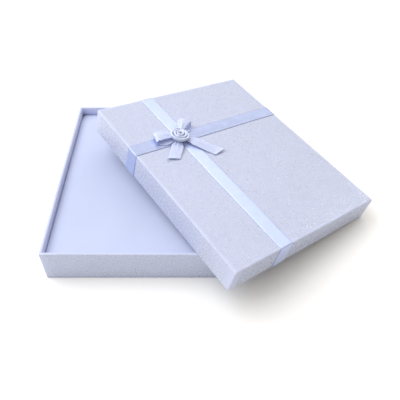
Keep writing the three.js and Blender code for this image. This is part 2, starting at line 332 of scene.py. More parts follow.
def flake_normal(nodes, cells, chance):
    """The face's normal leaned each flake's own way: nearly flat on most, far on a few."""
    seldom = nodes.math("POWER", chance, BRIGHT_FLAKE_RARITY)
    reach = nodes.math("ADD", FLAKE_TILT, nodes.math("MULTIPLY", seldom, BRIGHT_FLAKE_TILT))
    spread = nodes.vector_math("SUBTRACT", cells, (0.5, 0.5, 0.5))
    tilt = nodes.vector_math("SCALE", spread, scale=reach)
    face = nodes.add("ShaderNodeNewGeometry").outputs["Normal"]
    return nodes.vector_math("NORMALIZE", nodes.vector_math("ADD", face, tilt))


def cover_paper():
    """Pearly lilac paper: a fine embossed grain, flakes that glint each its own way, a paler tone
    along rounded edges and folds that is a painted highlight and partly rubbed coating, and a
    painted lighter tone where it is turned in, standing for light bounced onto the inner walls."""
    material, shader, nodes = new_material("cover_paper")
    place = nodes.coordinates()
    clouds = nodes.noise(place, CLOUD_SCALE, 3)
    grain = nodes.noise(place, GRAIN_SCALE, 3, 0.6)
    tone = nodes.mix(nodes.ramp(clouds, 0.3, 0.7), PAPER_DARK, PAPER_LIGHT)
    grain_share = nodes.math("MULTIPLY", nodes.ramp(grain, 0.35, 0.7), 0.3)
    tone = nodes.mix(grain_share, tone, PAPER_GRAIN)
    edge = nodes.add("ShaderNodeAttribute", attribute_name="edge").outputs["Fac"]
    inside = nodes.add("ShaderNodeAttribute", attribute_name="inside").outputs["Fac"]
    # painted fill light on the turned-in inner faces
    tone = nodes.mix(inside, tone, PAPER_INSIDE_PAINTED_LIGHT)
    cells = nodes.cells(place, FLAKE_SCALE)
    pick = nodes.add("ShaderNodeSeparateColor", {"Color": cells}).outputs
    coated = nodes.math("SUBTRACT", 1.0, nodes.math("MAXIMUM", edge, inside))
    is_flake = nodes.math("MULTIPLY", nodes.ramp(pick["Green"], 0.55, 0.62), coated)
    pearl = nodes.mix(pick["Blue"], PEARL_WARM, PEARL_COOL)
    tone = nodes.mix(is_flake, tone, pearl)
    # painted edge highlight, partly rubbed coating: paler along edges and folds, in cloudy patches
    rubbed_and_highlit = nodes.math("MULTIPLY", edge, nodes.ramp(clouds, 0.2, 0.6))
    tone = nodes.mix(nodes.math("MULTIPLY", rubbed_and_highlit, 0.75), tone, PAPER_RUBBED_AND_HIGHLIT)
    nodes.put(shader.inputs["Base Color"], tone)
    grained = nodes.bump(grain, 0.05 * MM, 0.4)
    leaning = flake_normal(nodes, cells, pick["Red"])
    nodes.put(shader.inputs["Normal"], nodes.mix(is_flake, grained, leaning))
    smoother = nodes.math("MULTIPLY", is_flake, 0.3)
    nodes.put(shader.inputs["Roughness"], nodes.math("SUBTRACT", 0.54, smoother))
    pearly = nodes.math("MULTIPLY", is_flake, 0.25)
    nodes.put(shader.inputs["Metallic"], nodes.math("ADD", 0.1, pearly))
    shader.inputs["Specular IOR Level"].default_value = 0.5
    return material


def velour():
    """Short soft pile: a fine fibre grain, brushed patches and a pale sheen at grazing angles."""
    material, shader, nodes = new_material("pad_velour")
    brushed = nodes.noise(nodes.coordinates((1, 0.6, 1)), 26, 4, 0.55)
    fibres = nodes.noise(nodes.coordinates(), FIBRE_SCALE, 2, 0.7)
    tone = nodes.mix(nodes.ramp(brushed, 0.3, 0.7), VELOUR_DARK, VELOUR_LIGHT)
    fibre_share = nodes.math("MULTIPLY", nodes.ramp(fibres, 0.3, 0.7), 0.3)
    tone = nodes.mix(fibre_share, tone, VELOUR_TIP)
    nodes.put(shader.inputs["Base Color"], tone)
    nodes.put(shader.inputs["Normal"], nodes.bump(fibres, 0.12 * MM, 0.5))
    shader.inputs["Roughness"].default_value = 0.9
    shader.inputs["Sheen Weight"].default_value = 0.25
    shader.inputs["Sheen Roughness"].default_value = 0.4
    shader.inputs["Sheen Tint"].default_value = VELOUR_TIP
    shader.inputs["Specular IOR Level"].default_value = 0.1
    return material


def satin(name, dark, light, metallic, see_through):
    """Satin ribbon: long floats along its length, so its gloss is stretched across them, with a
    firm woven selvedge along both sides. Its UVs are metres along and 0 to 1 across. see_through
    is the share of light that goes in and spreads."""
    material, shader, nodes = new_material(name)
    floats = nodes.noise(nodes.coordinates((160, 26, 1), "UV"), 1, 3, 0.6)
    broad = nodes.noise(nodes.coordinates((90, 2.4, 1), "UV"), 1, 2)
    place = nodes.add("ShaderNodeSeparateXYZ", {"Vector": nodes.coordinates(kind="UV")}).outputs
    off_middle = nodes.math("ABSOLUTE", nodes.math("SUBTRACT", place["Y"], 0.5))
    selvedge = nodes.ramp(off_middle, 0.455, 0.475)
    tone = nodes.mix(nodes.ramp(floats, 0.3, 0.7), dark, light)
    tone = nodes.mix(nodes.math("MULTIPLY", selvedge, 0.35), tone, dark)
    nodes.put(shader.inputs["Base Color"], tone)
    nodes.put(shader.inputs["Roughness"], nodes.ramp(broad, -1.0, 2.2))
    relief = nodes.math("ADD", floats, selvedge)
    nodes.put(shader.inputs["Normal"], nodes.bump(relief, 0.03 * MM, 0.6))
    tangent = nodes.add("ShaderNodeTangent", direction_type="UV_MAP").outputs[0]
    nodes.put(shader.inputs["Tangent"], tangent)
    shader.inputs["Anisotropic"].default_value = 0.8
    shader.inputs["Anisotropic Rotation"].default_value = 0.25
    shader.inputs["Metallic"].default_value = metallic
    shader.inputs["Subsurface Weight"].default_value = see_through
    shader.inputs["Subsurface Radius"].default_value = (1, 1, 1)
    shader.inputs["Subsurface Scale"].default_value = 1.5 * MM
    shader.inputs["Specular IOR Level"].default_value = 0.6
    shader.inputs["Sheen Weight"].default_value = 0.2
    shader.inputs["Sheen Roughness"].default_value = 0.4
    return material


def pulp(name, dark, light, scale):
    """Board, tape, foam or lining: a dull fibrous or cellular body with specks of another tone."""
    material, shader, nodes = new_material(name)
    fibres = nodes.noise(nodes.coordinates(), scale, 4, 0.65)
    nodes.put(shader.inputs["Base Color"], nodes.mix(nodes.ramp(fibres, 0.3, 0.7), dark, light))
    nodes.put(shader.inputs["Normal"], nodes.bump(fibres, 0.06 * MM, 0.5))
    nodes.put(shader.inputs["Roughness"], nodes.ramp(fibres, -6, 1.4))
    return material


# ---------------------------------------------------------------- mesh helpers

def add_object(name, vertices, faces, material, body, replaced):
    """One closed mesh as a piece of its own, standing for a CAD node."""
    mesh = bpy.data.meshes.new(name)
    mesh.from_pydata([tuple(v) for v in vertices], [], faces)
    shell = bmesh.new()
    shell.from_mesh(mesh)
    bmesh.ops.recalc_face_normals(shell, faces=shell.faces)
    shell.to_mesh(mesh)
    shell.free()
    mesh.polygons.foreach_set("use_smooth", [True] * len(mesh.polygons))
    mesh.materials.append(material)
    piece = bpy.data.objects.new(name, mesh)
    bpy.context.scene.collection.objects.link(piece)
    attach(piece, body)
    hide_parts(replaced)
    return piece


def smoothstep(value):
    share = min(max(value, 0), 1)
    return share * share * (3 - 2 * share)


def arc(centre, radius, start, end, steps):
    """Points along a circle's arc in a plane, from one angle in degrees to another."""
    angles = [math.radians(start + (end - start) * i / steps) for i in range(steps + 1)]
    return [(centre[0] + radius * math.cos(a), centre[1] + radius * math.sin(a)) for a in angles]


# ---------------------------------------------------------------- cover paper of both halves

SIDE_STEPS = 26
CORNER_STEPS = 5
CORNER_RADIUS = 1.1 * MM
TURN_IN = 13.5 * MM
BASE_RADIUS = 0.55 * MM
SURFACE_WAVE = 0.05 * MM  # how far the glued paper strays from flat
RIM_RUB_AND_HIGHLIGHT = 0.6  # how far the rims get the painted edge highlight, which is partly rubbed coating, where corners and folds are 1
PANEL_REACHES = [reach * MM for reach in (3, 8, 18, 32, 46, 60, 72)]  # rings of the lid's panel


def paper_ring(width, length, inset, z):
    """A rectangle with rounded corners, inset from the outline; SIDE_STEPS points a side."""
    radius = max(CORNER_RADIUS - inset, 0.3 * MM)
    half_x = width / 2 - inset - radius
    half_y = length / 2 - inset - radius
    quarters = ((1, -1, -90), (1, 1, 0), (-1, 1, 90), (-1, -1, 180))
    corners = [(x * half_x, y * half_y, start) for x, y, start in quarters]
    bends = [arc((x, y), radius, start, start + 90, CORNER_STEPS) for x, y, start in corners]
    ring = []
    for bend, next_bend in zip(bends, bends[1:] + bends[:1]):
        start, end = Vector(bend[-1]), Vector(next_bend[0])
        ring += [Vector(point) for point in bend]
        ring += [start.lerp(end, step / SIDE_STEPS) for step in range(1, SIDE_STEPS)]
    return [Vector((p.x, p.y, z)) for p in ring]


def waved(point):
    """A point of glued paper, a little off flat."""
    return point + noise.noise_vector(point * 30) * SURFACE_WAVE


def wall_profile(rim, bottom):
    """(inset, z) points of a wall's paper in order: up the outside, over the rim, down inside to
    the turn-in's edge, then back up and down between paper and board."""
    outside = [(0, bottom), (0, (bottom + rim) / 2), (0, rim - 2 * EDGE_RADIUS)]
    outer_bend = arc((EDGE_RADIUS, rim - EDGE_RADIUS), EDGE_RADIUS, 180, 90, 4)
    inner_bend = arc((WALL - EDGE_RADIUS, rim - EDGE_RADIUS), EDGE_RADIUS, 90, 0, 4)
    inside = [(WALL, rim - 2 * EDGE_RADIUS), (WALL, rim - TURN_IN)]
    behind = [
        (WALL - PAPER, rim - TURN_IN),
        (WALL - PAPER, rim - EDGE_RADIUS),
        (WALL - EDGE_RADIUS, rim - PAPER),
        (EDGE_RADIUS, rim - PAPER),
        (PAPER, rim - EDGE_RADIUS),
    ]
    return outside + outer_bend + inner_bend + inside, behind


def skin(name, profile, width, length, open_after, space, material, body, replaced):
    """Paper lofted over a profile of (inset, z). Where open_after is given, the profile isn't
    joined between that ring and the next, and both those rings are filled as flat panels."""
    rings = [paper_ring(width, length, inset, z) for inset, z in profile]
    count = len(rings[0])
    vertices = [space @ waved(point) for ring in rings for point in ring]
    faces = []
    for a in range(len(rings)):
        if a == open_after:
            faces.append(tuple(a * count + i for i in range(count)))
            faces.append(tuple((a + 1) * count + i for i in range(count)))
            continue
        b = (a + 1) % len(rings)
        for i in range(count):
            j = (i + 1) % count
            faces.append((a * count + i, a * count + j, b * count + j, b * count + i))
    piece = add_object(name, vertices, faces, material, body, replaced)
    mark_zones(piece, profile, count, open_after)
    return piece


def mark_zones(piece, profile, count, open_after):
    """Store where the paper runs over rounded edges and where it is turned in, for its material, which
    paints a highlight on the edges and a lighter tone where it is turned in.
    """
    side = CORNER_STEPS + SIDE_STEPS
    bend_depth = 0.8 * EDGE_RADIUS
    highest = max(z for _, z in profile)
    lowest = min(z for _, z in profile)
    edge, inside = [], []
    for index in range(len(profile) * count):
        ring, place = divmod(index, count)
        inset, z = profile[ring]
        near_rim = z > highest - bend_depth and inset < WALL
        near_fold = open_after is not None and z < lowest + bend_depth and inset < 1.2 * EDGE_RADIUS
        on_corner = inset < PAPER and place % side <= CORNER_STEPS
        # corners and folds get the full painted edge highlight, rims a part of it
        edge.append(1.0 if near_fold or on_corner else RIM_RUB_AND_HIGHLIGHT * near_rim)
        # the inner faces, which the material paints lighter as if lit by bounced light
        on_inner_face = abs(inset - WALL) < 0.5 * EDGE_RADIUS
        inside.append(1.0 if on_inner_face and not near_rim else 0.0)
    for name, values in (("edge", edge), ("inside", inside)):
        layer = piece.data.attributes.new(name, "FLOAT", "POINT")
        layer.data.foreach_set("value", values)


def tray_wrap(material):
    """The tray's walls: paper from a rounded foot, up, over the rim and down inside."""
    low = TRAY_LOW.z
    outside, behind = wall_profile(TRAY_HIGH.z, low + BASE_RADIUS)
    foot = arc((BASE_RADIUS, low + BASE_RADIUS), BASE_RADIUS, 270, 190, 3)
    foot_back = [(PAPER, low + BASE_RADIUS), (BASE_RADIUS, low + PAPER)]
    profile = foot + outside + behind + foot_back
    width = TRAY_HIGH.x - TRAY_LOW.x
    in_place = Matrix()
    skin("tray_cover_paper", profile, width, TRAY_LENGTH, None, in_place, material, "tray", "tray_wrap")


def lid_wrap(material):
    """The lid is a tray upside down, its panel covered too, so its profile is mirrored."""
    width = LID_HIGH.x - LID_LOW.x
    length = LID_HIGH.y - LID_LOW.y
    top = -LID_HIGH.z
    wall_outside, wall_behind = wall_profile(0, top + EDGE_RADIUS)
    fold = arc((EDGE_RADIUS, top + EDGE_RADIUS), EDGE_RADIUS, 180, 270, 4)[1:]
    panel = [(inset, top) for inset in PANEL_REACHES]
    panel_back = [(inset, top + PAPER) for inset in reversed(PANEL_REACHES)]
    fold_back = [(EDGE_RADIUS, top + PAPER), (PAPER, top + EDGE_RADIUS)]
    outer = wall_outside[::-1] + fold + panel
    profile = outer + panel_back + fold_back + wall_behind[::-1]
    upside_down = LID_SPACE @ Matrix.Rotation(math.pi, 4, "Y")
    last = len(outer) - 1
    skin("lid_cover_paper", profile, width, length, last, upside_down, material, "lid", "lid_wrap")


# ---------------------------------------------------------------- pad

PAD_MESH = 4.5 * MM
PAD_EDGE_RADIUS = 0.5 * MM
PAD_CORNER_RADIUS = 3 * MM
PAD_SWELL = 0.8 * MM  # the most that the cover may swell
PAD_BULGE = 0.28 * MM  # how far the soft cover spreads past the CAD pad, into its gap to the tray
PAD_BACK_DROP = 1.5 * MM  # the pad's back edge sits this much deeper in the tray
PAD_BACK_SLOPE = 18 * MM  # and slopes down to there over this length
PAD_DIPS = 0.22 * MM
PAD_DIMPLES = 0.06 * MM
CLOTH_PRESSURE = 4
CLOTH_FRAMES = 20
FOAM_INSET = Vector((0.9, 0.9, 0.2)) * MM
FOAM_EDGE_RADIUS = 2 * MM
FOAM_UNEVEN = 0.12 * MM


def grid_stops(low, high, radius):
    """Coordinates across a slab: close together at its rounded edges, PAD_MESH apart between."""
    edge = [0, 0.35 * radius, 0.8 * radius, 1.5 * radius]
    count = round((high - low - 2 * edge[-1]) / PAD_MESH)
    inner_low, inner_high = low + edge[-1], high - edge[-1]
    middle = [inner_low + (inner_high - inner_low) * i / max(count, 1) for i in range(1, count)]
    return [low + e for e in edge] + middle + [high - e for e in reversed(edge)]


def round_corner(point, low, high, radius):
    """A slab's point with the slab's four upright corners rounded to radius."""
    inner = Vector([min(max(point[i], low[i] + radius), high[i] - radius) for i in range(2)])
    out = point.xy - inner
    if min(abs(out.x), abs(out.y)) == 0:
        return point
    flat = inner + out * (max(abs(out.x), abs(out.y)) / out.length)
    return Vector((flat.x, flat.y, point.z))


def slab_mesh(low, high, radius, corner_radius):
    """The surface of a box with rounded edges, as an even mesh of quads."""
    stops = [grid_stops(low[i], high[i], radius) for i in range(3)]
    last = [len(s) - 1 for s in stops]
    index = {}
    vertices = []
    faces = []

    def vertex(key):
        if key not in index:
            index[key] = len(vertices)
            point = Vector([stops[i][key[i]] for i in range(3)])
            core = Vector([min(max(point[i], low[i] + radius), high[i] - radius) for i in range(3)])
            out = point - core
            if out.length > radius:
                point = core + out.normalized() * radius
            vertices.append(round_corner(point, low, high, corner_radius))
        return index[key]

    for axis in range(3):
        u, v = (axis + 1) % 3, (axis + 2) % 3
        for side in (0, last[axis]):
            for i in range(last[u]):
                for j in range(last[v]):
                    corners = []
                    for di, dj in ((0, 0), (1, 0), (1, 1), (0, 1)):
                        key = [0, 0, 0]
                        key[axis], key[u], key[v] = side, i + di, j + dj
                        corners.append(vertex(tuple(key)))
                    faces.append(tuple(corners))
    return vertices, faces


def swell(piece, cap, pinned_below):
    """Cloth under air pressure pulls the cover taut over its foam. It is held where it is glued
    under the card, the foam keeps its sides from drawing in, and no point moves further than cap."""
    mesh = piece.data
    start = [v.co.copy() for v in mesh.vertices]
    glued = piece.vertex_groups.new(name="glued")
    glued.add([v.index for v in mesh.vertices if v.co.z < pinned_below], 1, "REPLACE")
    cloth = piece.modifiers.new("cloth", "CLOTH")
    cloth.settings.quality = 5
    cloth.settings.use_pressure = True
    cloth.settings.uniform_pressure_force = CLOTH_PRESSURE
    cloth.settings.effector_weights.gravity = 0
    cloth.settings.vertex_group_mass = "glued"
    cloth.point_cache.frame_start = 1
    cloth.point_cache.frame_end = CLOTH_FRAMES
    for number in range(1, CLOTH_FRAMES + 1):
        bpy.context.scene.frame_set(number)
    graph = bpy.context.evaluated_depsgraph_get()
    moved = [v.co.copy() for v in piece.evaluated_get(graph).data.vertices]
    piece.modifiers.remove(cloth)
    bpy.context.scene.frame_set(1)
    for vertex, before, after in zip(mesh.vertices, start, moved):
        shift = after - before
        for axis in (0, 1):
            if shift[axis] * before[axis] < 0:
                shift[axis] = 0
        shift.z = max(shift.z, 0)
        if shift.length > cap:
            shift *= cap / shift.length
        vertex.co = before + shift


def settle(piece):
    """Keep the pad inside the tray's walls, its back edge low and its cover softly uneven."""
    low = PAD_LOW - Vector((PAD_BULGE, PAD_BULGE, 0))
    high = PAD_HIGH + Vector((PAD_BULGE, PAD_BULGE, 0))
    for vertex in piece.data.vertices:
        uneven = noise.noise(vertex.co * 28) * PAD_DIPS + noise.noise(vertex.co * 95) * PAD_DIMPLES
        drop = PAD_BACK_DROP * smoothstep(1 - (high.y - vertex.co.y) / PAD_BACK_SLOPE)
        share = smoothstep((vertex.co.z - PAD_LOW.z) / (PAD_HIGH.z - PAD_LOW.z))
        vertex.co.z += (uneven - drop) * share
        for axis in range(3):
            vertex.co[axis] = min(max(vertex.co[axis], low[axis]), high[axis])


def pad_cover(material):
    """The pad's velour, blown taut from a slightly lower slab, then settled and smoothed."""
    spread = Vector((PAD_BULGE, PAD_BULGE, 0))
    low = PAD_LOW - spread
    high = PAD_HIGH + spread - Vector((0, 0, PAD_SWELL))
    vertices, faces = slab_mesh(low, high, PAD_EDGE_RADIUS, PAD_CORNER_RADIUS)
    piece = add_object("pad_velour_cover", vertices, faces, material, "pad", "pad_cover")
    swell(piece, PAD_SWELL, low.z + 1 * MM)
    settle(piece)
    soften = piece.modifiers.new("soften", "SUBSURF")
    soften.levels = 1
    soften.render_levels = 1


def pad_foam(material):
    """The foam slab under the cover, its cut edges a little uneven."""
    low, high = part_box("pad_foam")
    top_drop = Vector((0, 0, 2 * PAD_SWELL + PAD_BACK_DROP))
    start = low + FOAM_INSET
    end = high - FOAM_INSET - top_drop
    vertices, faces = slab_mesh(start, end, FOAM_EDGE_RADIUS, PAD_CORNER_RADIUS)
    vertices = [v + noise.noise_vector(v * 60) * FOAM_UNEVEN for v in vertices]
    piece = add_object("pad_foam_slab", vertices, faces, material, "pad", "pad_foam")


# ---------------------------------------------------------------- ribbon

RIBBON_COLUMNS = 12  # mesh cells across a ribbon


def ribbon_grid(path, sides, widths, lift):
    """Points across a ribbon at each place of its path; lift(i, share) raises them off the path,
    where share runs from -1 to 1 across."""
    shares = [2 * step / RIBBON_COLUMNS - 1 for step in range(RIBBON_COLUMNS + 1)]
    grid = []
    for i, middle in enumerate(path):
        ahead = path[min(i + 1, len(path) - 1)]
        tangent = (ahead - path[max(i - 1, 0)]).normalized()
        side = (sides[i] - tangent * sides[i].dot(tangent)).normalized()
        normal = side.cross(tangent)
        grid.append([middle + side * (s * widths[i] / 2) + normal * lift(i, s) for s in shares])
    return grid


def grid_normal(grid, i, j):
    """The unit normal of a grid of points at row i and column j."""
    along = grid[min(i + 1, len(grid) - 1)][j] - grid[max(i - 1, 0)][j]
    across = grid[i][min(j + 1, len(grid[0]) - 1)] - grid[i][max(j - 1, 0)]
    return across.cross(along).normalized()


def ribbon_piece(name, grid, material, replaced):
    """A ribbon of RIBBON_THICKNESS round a grid of points in lid space: a closed thin shell."""
    rows, columns = len(grid), len(grid[0])
    size = rows * columns
    upper, lower = [], []
    for i in range(rows):
        for j in range(columns):
            shift = grid_normal(grid, i, j) * (RIBBON_THICKNESS / 2)
            upper.append(LID_SPACE @ (grid[i][j] + shift))
            lower.append(LID_SPACE @ (grid[i][j] - shift))
    faces = []
    for i in range(rows - 1):
        for j in range(columns - 1):
            a, b = i * columns + j, (i + 1) * columns + j
            faces.append((a, b, b + 1, a + 1))
            faces.append((size + a, size + a + 1, size + b + 1, size + b))
    border = list(range(columns))
    border += [i * columns + columns - 1 for i in range(1, rows)]
    border += [(rows - 1) * columns + j for j in range(columns - 2, -1, -1)]
    border += [i * columns for i in range(rows - 2, 0, -1)]
    for a, b in zip(border, border[1:] + border[:1]):
        faces.append((a, b, size + b, size + a))
    piece = add_object(name, upper + lower, faces, material, "lid", replaced)
    middle = [row[columns // 2] for row in grid]
    run = [0.0]
    for before, after in zip(middle, middle[1:]):
        run.append(run[-1] + (after - before).length)
    layer = piece.data.uv_layers.new(name="ribbon")
    for loop in piece.data.loops:
        row, column = divmod(loop.vertex_index % size, columns)
        layer.data[loop.index].uv = (run[row], column / (columns - 1))


def rounded_line(points, spacing, radius):
    """A polyline with each bend rounded to radius and its straight runs cut to about spacing."""
    path = [points[0]]
    for before, point, after in zip(points, points[1:], points[2:]):
        into = point - before
        away = after - point
        angle = into.angle(away)
        cut = min(radius * math.tan(angle / 2), 0.49 * into.length, 0.49 * away.length)
        start = point - into.normalized() * cut
        end = point + away.normalized() * cut
        steps = max(3, int(math.degrees(angle) / 12))
        for step in range(steps + 1):
            share = step / steps
            path.append(start.lerp(point, share).lerp(point.lerp(end, share), share))
    path.append(points[-1])
    even = [path[0]]
    for point in path[1:]:
        gap = (point - even[-1]).length
        if gap < 0.05 * MM:
            continue
        parts = int(gap / spacing) + 1
        previous = even[-1]
        even += [previous.lerp(point, (i + 1) / parts) for i in range(parts)]
    return even


def curved_line(points, spacing):
    """A smooth curve through a few points, its samples about spacing apart."""
    ends = [points[0] * 2 - points[1]] + points + [points[-1] * 2 - points[-2]]
    line = [points[0]]
    for p0, p1, p2, p3 in zip(ends, ends[1:], ends[2:], ends[3:]):
        parts = max(2, round((p2 - p1).length / spacing))
        for i in range(1, parts + 1):
            t = i / parts
            bend = (p1 * 2) + (p2 - p0) * t
            bend += (p0 * 2 - p1 * 5 + p2 * 4 - p3) * t ** 2
            bend += (p1 * 3 - p0 - p2 * 3 + p3) * t ** 3
            line.append(bend / 2)
    return line


RIBBON_LIFT = 0.2 * MM  # middle of a band above the paper it lies on
BAND_TUCK = 8.5 * MM  # how far a band is turned in over the rim
BAND_CROWN = 0.12 * MM
BAND_STRAY = 0.2 * MM  # how far a band wanders from a straight line
BAND_STEP = 4 * MM
BAND_BEND = 0.9 * MM
CROSSING_MARGIN = 0.5 * MM  # the upper band is at full height this far beside the lower one
CROSSING_RAMP = 3 * MM


def band_line(half_span, crossing):
    """(along, up) of a ribbon round the lid; at crossing it climbs over the other ribbon."""
    top = LID_HIGH.z + RIBBON_LIFT
    outer = half_span + RIBBON_LIFT
    inner = half_span - WALL - RIBBON_LIFT
    points = [(-inner, BAND_TUCK), (-inner, -RIBBON_LIFT), (-outer, -RIBBON_LIFT), (-outer, top)]
    if crossing is not None:
        half = (LONG_HIGH.x - LONG_LOW.x) / 2 + CROSSING_MARGIN
        over = top + 2 * RIBBON_THICKNESS
        points += [(crossing - half - CROSSING_RAMP, top), (crossing - half, over)]
        points += [(crossing + half, over), (crossing + half + CROSSING_RAMP, top)]
    points += [(outer, top), (outer, -RIBBON_LIFT), (inner, -RIBBON_LIFT), (inner, BAND_TUCK)]
    return rounded_line([Vector(p) for p in points], BAND_STEP, BAND_BEND)


def band(name, replaced, low, high, material, lengthwise, crossing=None):
    """A ribbon glued round the lid, over the panel, down two walls and in under the rim."""
    spans = LID_HIGH - LID_LOW
    line = band_line((spans.y if lengthwise else spans.x) / 2, crossing)
    if lengthwise:
        width = high.x - low.x
        middle = (low.x + high.x) / 2
        path = [Vector((middle, p.x, p.y)) for p in line]
        side = Vector((1, 0, 0))
    else:
        width = high.y - low.y
        middle = (low.y + high.y) / 2
        path = [Vector((p.x, middle, p.y)) for p in line]
        side = Vector((0, -1, 0))
    path = [p + side * noise.noise(p * 25) * BAND_STRAY for p in path]
    count = len(path)
    grid = ribbon_grid(path, [side] * count, [width] * count, lambda i, s: BAND_CROWN * (1 - s * s))
    ribbon_piece(name, grid, material, replaced)


# ---------------------------------------------------------------- bow

GLUE_LOW, GLUE_HIGH = extent(["bow_glue_dot"], LID_SPACE)
BOW_MIDDLE = Vector(((GLUE_LOW.x + GLUE_HIGH.x) / 2, (GLUE_LOW.y + GLUE_HIGH.y) / 2, LID_HIGH.z))
PINCH_WIDTH = 5 * MM
PINCH_REACH = 5 * MM  # the ribbon stays narrow this far from the bow's middle
SPREAD_REACH = 14 * MM  # and has its full width from here on
BOW_STEP = 0.8 * MM
BOW_OVERLAP = 3 * MM  # each strip starts this far past the bow's middle
TAIL_CLEARANCE = 0.45 * MM  # a tail's middle above the panel
TAIL_CUT_ZONE = 9 * MM  # the length of a tail over which its end slants
TAIL_RIDGE = 0.5 * MM
TAIL_PLEAT = 0.3 * MM
LOOP_PLEAT = 0.35 * MM


def strip_run(node):
    """How a bow strip lies in the CAD: its direction over the panel, its reach from the bow's
    middle, its greatest height and the heights of its ends at the middle."""
    into = LID_SPACE.inverted()
    points = [into @ v.co - BOW_MIDDLE for v in frame["nodes"][node].data.vertices]
    far = max(p.xy.length for p in points)
    toward = sum((p.xy for p in points if p.xy.length > 0.95 * far), Vector((0, 0))).normalized()
    reach = max(p.xy.dot(toward) for p in points)
    top = max(p.z for p in points)
    at_middle = [p.z for p in points if p.xy.dot(toward) < 0]
    return toward, reach, top, min(at_middle), max(at_middle)


def bow_width(distance):
    """The ribbon's width at a distance from the bow's middle: narrow where it is pinched."""
    grown = smoothstep((distance - PINCH_REACH) / (SPREAD_REACH - PINCH_REACH))
    return PINCH_WIDTH + (BOW_RIBBON_WIDTH - PINCH_WIDTH) * grown


def pleat(distance, share, depth):
    """Gathers that radiate from the pinch and die out along the ribbon."""
    rise = smoothstep((distance - 0.5 * PINCH_REACH) / PINCH_REACH)
    fade = 1 - smoothstep((distance - PINCH_REACH) / (1.3 * SPREAD_REACH))
    return depth * rise * fade * math.cos(2.6 * math.pi * share + 0.6)


def bow_path(line, directions):
    """A line of (distance, height) as points in lid space, each in its own flat direction."""
    return [BOW_MIDDLE + Vector((t.x, t.y, 0)) * p.x + UP * p.y for p, t in zip(line, directions)]


def rolled_side(toward, degrees):
    """The unit vector across a strip, to its right, tipped down by some degrees."""
    side = Vector((toward.y, -toward.x, 0))
    return Matrix.Rotation(math.radians(degrees), 3, Vector((toward.x, toward.y, 0))) @ side


def bow_tail(node, material, hump, curl, roll, slant):
    """A tail: from under the rose over a low hump to the panel, its cut end a little curled up.
    slant is how much further its right side reaches than its left, in ribbon widths."""
    toward, reach, _, low, _ = strip_run(node)
    floor = TAIL_CLEARANCE + abs(math.sin(math.radians(roll))) * BOW_RIBBON_WIDTH / 2
    heights = [(-BOW_OVERLAP, low), (4 * MM, low + 0.2 * MM), (0.35 * reach, hump)]
    heights += [(0.65 * reach, floor + 0.5 * MM), (0.86 * reach, floor), (reach, floor + curl)]
    line = curved_line([Vector(p) for p in heights], BOW_STEP)
    path = bow_path(line, [toward] * len(line))
    sides = [rolled_side(toward, roll * smoothstep(p.x / reach)) for p in line]
    widths = [bow_width(p.x) for p in line]

    def lift(i, share):
        distance = line[i].x
        ridge = TAIL_RIDGE * (1 - abs(share)) * smoothstep(distance / PINCH_REACH)
        return ridge * (1 - 0.7 * smoothstep(distance / reach)) + pleat(distance, share, TAIL_PLEAT)

    grid = ribbon_grid(path, sides, widths, lift)
    flat = Vector((toward.x, toward.y, 0))
    for p, row in zip(line, grid):
        pull = smoothstep((p.x - reach + TAIL_CUT_ZONE) / TAIL_CUT_ZONE)
        for step, point in enumerate(row):
            share = step / (len(row) - 1) - 0.5
            point += flat * (slant * share * BOW_RIBBON_WIDTH * pull)
    ribbon_piece(node + "_ribbon", grid, material, node)


def bow_loop(node, material, height_share, crown, roll, splay, lower_height):
    """A loop: out low over the panel, round its tip and back above, gathered at the pinch. Its
    upper leaf lies splay degrees further round than its lower one, so it opens like a fan."""
    toward, reach, top, low, high = strip_run(node)
    top = high + (top - high) * height_share
    tip = 0.5 * (top + lower_height)
    points = [(-BOW_OVERLAP, low), (4 * MM, low), (0.45 * reach, lower_height + 0.3 * MM)]
    points += [(0.8 * reach, lower_height), (0.96 * reach, lower_height + 0.6 * MM), (reach, tip)]
    points += [(0.94 * reach, top - 0.5 * MM), (0.72 * reach, top)]
    points += [(0.42 * reach, 0.5 * (top + high)), (5 * MM, high + 0.4 * MM), (-BOW_OVERLAP, high)]
    line = curved_line([Vector(p) for p in points], BOW_STEP)
    total = len(line) - 1
    turned = []
    for i in range(total + 1):
        turn = math.radians(splay) * (smoothstep((i / total - 0.25) / 0.5) - 0.5)
        turned.append(Matrix.Rotation(turn, 2) @ toward)
    path = bow_path(line, turned)
    sides = [rolled_side(t, roll * smoothstep(p.x / reach)) for t, p in zip(turned, line)]
    widths = [bow_width(p.x) for p in line]

    def lift(i, share):
        upper = smoothstep((i / total - 0.3) / 0.15)
        spread = smoothstep(line[i].x / (0.5 * reach))
        rounding = crown * spread * (1 - share * share)
        return -(rounding + pleat(line[i].x, share, LOOP_PLEAT)) * upper

    grid = ribbon_grid(path, sides, widths, lift)
    name = node + "_ribbon"
    ribbon_piece(name, grid, material, node)


ROSE_TURNS = 3.05
ROSE_STEPS = 44  # points in one turn
PETAL_ANGLE = 105  # degrees of the coil that one petal takes up
ROSE_EDGE = 0.82 * MM  # radius of the ribbon's soft fold along the petals' top
ROSE_FOOT = 1.75 * MM  # how far the ribbon's two leaves stand apart at the foot
ROSE_CORE = -0.35 * MM  # the coil starts just past its middle, so it has no hole
ROSE_LEAN = 0.6 * MM  # how far the outermost petals lean outward
ROSE_CLEARANCE = 0.1 * MM  # keeps the ribbon, with its thickness, inside the CAD rose
LEAF_STEPS = 7


